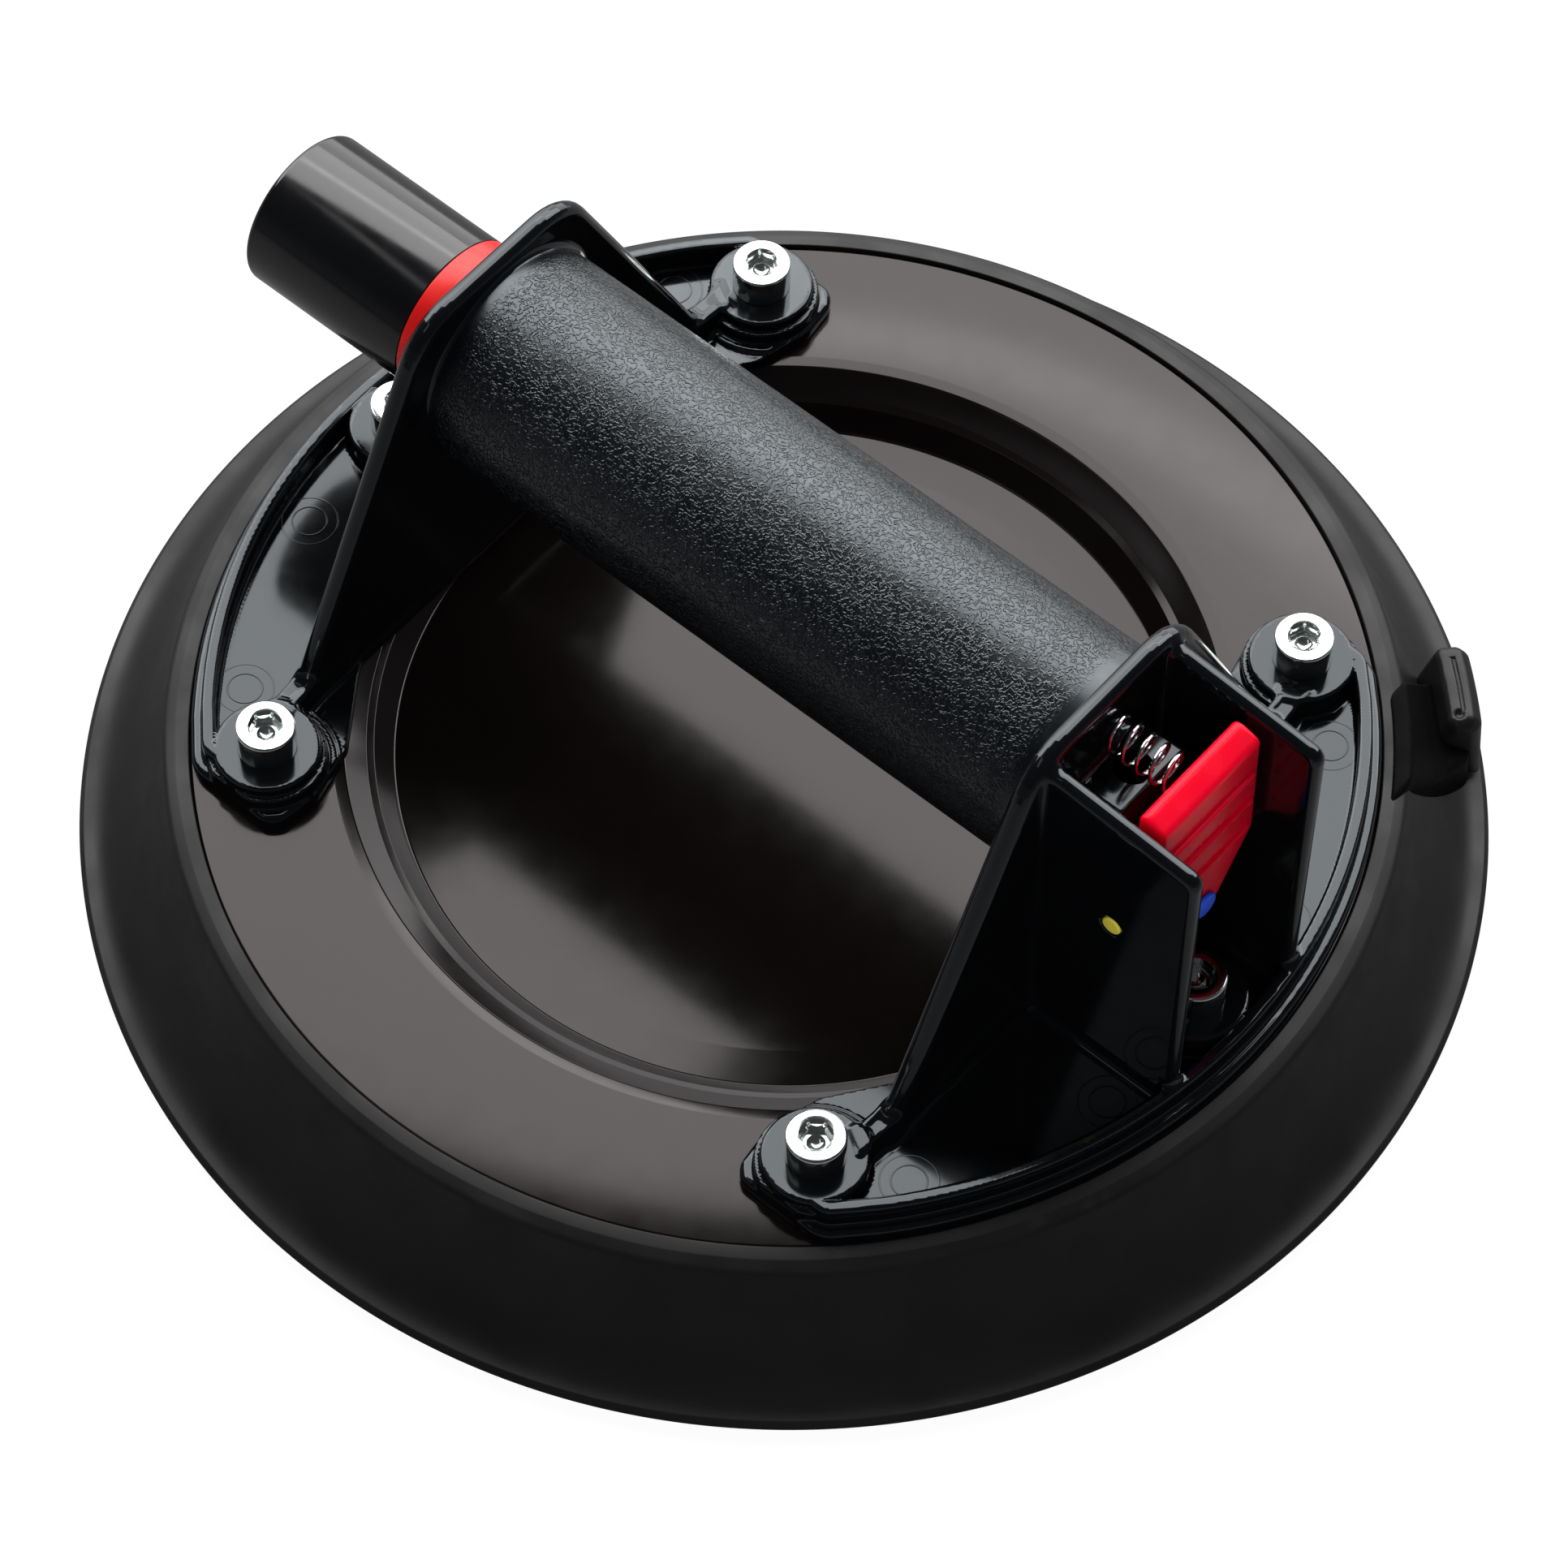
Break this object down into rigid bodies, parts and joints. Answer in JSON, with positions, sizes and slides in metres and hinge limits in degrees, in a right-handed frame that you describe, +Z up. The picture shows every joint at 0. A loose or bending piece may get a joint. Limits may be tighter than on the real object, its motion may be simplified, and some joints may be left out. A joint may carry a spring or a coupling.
{
  "type": "vacuum suction cup",
  "caption": "Hand-held vacuum lifting cup: round rubber pad on a dished plate, bar grip on two brackets, plunger hand pump in the grip and a red thumb lever that vents the pad.",
  "frame": {"origin": "centre of the sealing rim, on the surface the cup stands on", "axes": "+Z up, away from the surface held; +X from the plunger towards the release lever; +Y completes the frame"},
  "size_m": [0.2032, 0.2032, 0.0844],
  "materials": {
    "pad_rubber": "matt moulded rubber",
    "plate_paint": "gloss black paint",
    "bracket_plastic": "gloss black moulding",
    "grip_plastic": "fine leather grain",
    "plunger_plastic": "satin",
    "red_ring": "gloss red",
    "red_lever": "satin red",
    "blue_plug": "satin blue",
    "brass_pin": "bright",
    "brass_fitting": "turned",
    "bright_steel": "bright zinc plate",
    "zinc_steel": "zinc plate",
    "spring_wire": "bright wire",
    "cylinder_aluminium": "drawn tube",
    "inner_plastic": "moulded",
    "piston_plastic": "natural acetal",
    "seal_rubber": "matt",
    "filter_felt": "felt"
  },
  "bodies": {
    "base": {"suction_pad": "pad_rubber", "backing_plate": "plate_paint", "clinch_nuts": "zinc_steel", "pump_bracket": "bracket_plastic", "valve_bracket": "bracket_plastic", "pump_bracket_screws": "bright_steel", "valve_bracket_screws": "bright_steel", "grip_sleeve": "grip_plastic", "pump_cylinder": "cylinder_aluminium", "plunger_guide": "inner_plastic", "plunger_spring": "spring_wire", "pump_head": "inner_plastic", "head_o_ring": "seal_rubber", "check_valve_cage": "piston_plastic", "check_valve_spring": "spring_wire", "duct_plug": "inner_plastic", "port_fitting": "brass_fitting", "port_seal": "seal_rubber", "port_filter": "filter_felt", "valve_nozzle": "brass_fitting", "lever_pin": "brass_pin", "lever_spring": "spring_wire"},
    "plunger": {"plunger": "plunger_plastic", "indicator_ring": "red_ring", "piston": "piston_plastic", "piston_cup": "seal_rubber", "piston_screw": "zinc_steel"},
    "check_disc": {"check_valve_disc": "seal_rubber"},
    "lever": {"release_lever": "red_lever", "valve_plug": "blue_plug"}
  },
  "joints": [
    {"name": "plunger_slide", "type": "slide", "parent": "base", "child": "plunger", "axis": [1, 0, 0], "range_m": [0, 0.028], "stiffness_N_per_m": 450, "springref_m": -0.02, "deforming": ["plunger_spring"]},
    {"name": "lever_pivot", "type": "hinge", "parent": "base", "child": "lever", "pos_m": [0.068, 0, 0.0575], "axis": [0, -1, 0], "range_deg": [0, 12], "stiffness_Nm_per_rad": 0.6, "springref_deg": -14.32, "deforming": ["lever_spring"]},
    {"name": "check_valve_lift", "type": "slide", "parent": "base", "child": "check_disc", "axis": [-1, 0, 0], "range_m": [0, 0.001], "stiffness_N_per_m": 60, "springref_m": -0.0015, "deforming": ["check_valve_spring"]}
  ]
}
